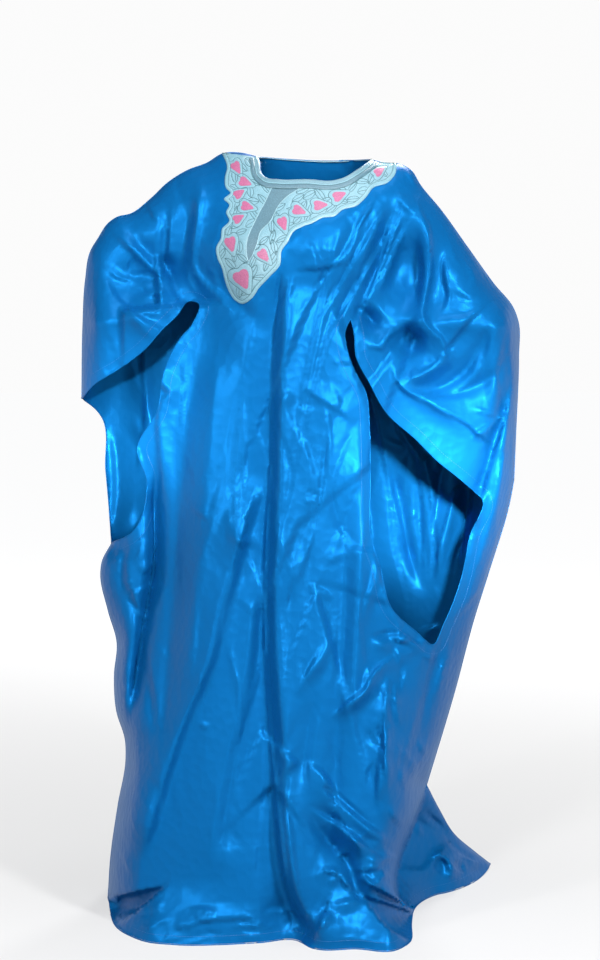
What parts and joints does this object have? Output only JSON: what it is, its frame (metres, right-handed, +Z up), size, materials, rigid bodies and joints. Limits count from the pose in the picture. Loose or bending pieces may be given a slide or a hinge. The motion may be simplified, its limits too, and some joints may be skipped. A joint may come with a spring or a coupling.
{
  "type": "grand boubou robe",
  "caption": "Floor-length wide-sleeved robe of polished blue cloth in a hollow worn pose, with an appliqued V neck yoke, wide arm openings and a hem pooled on the floor.",
  "frame": {"origin": "point between the shoulders and level with their tops, where the wearer carries the robe", "axes": "+Z up, -Y the way the front faces, +X to the right of someone looking at the front"},
  "size_m": [0.8413, 0.7195, 1.4408],
  "materials": {
    "blue_cloth": "polished glazed cotton damask",
    "aqua_applique": "satin stitched applique",
    "grey_teal_placket": "satin",
    "teal_binding": "satin",
    "pink_petal": "satin stitched patch"
  },
  "bodies": {
    "root": {"front_panel": "blue_cloth", "back_panel": "blue_cloth", "neck_applique": "aqua_applique", "neck_placket": "grey_teal_placket", "neck_binding_front": "teal_binding", "neck_binding_back": "teal_binding", "petal_01": "pink_petal", "petal_02": "pink_petal", "petal_03": "pink_petal", "petal_04": "pink_petal", "petal_05": "pink_petal", "petal_06": "pink_petal", "petal_07": "pink_petal", "petal_08": "pink_petal", "petal_09": "pink_petal", "petal_10": "pink_petal", "petal_11": "pink_petal", "petal_12": "pink_petal", "petal_13": "pink_petal"}
  },
  "joints": []
}
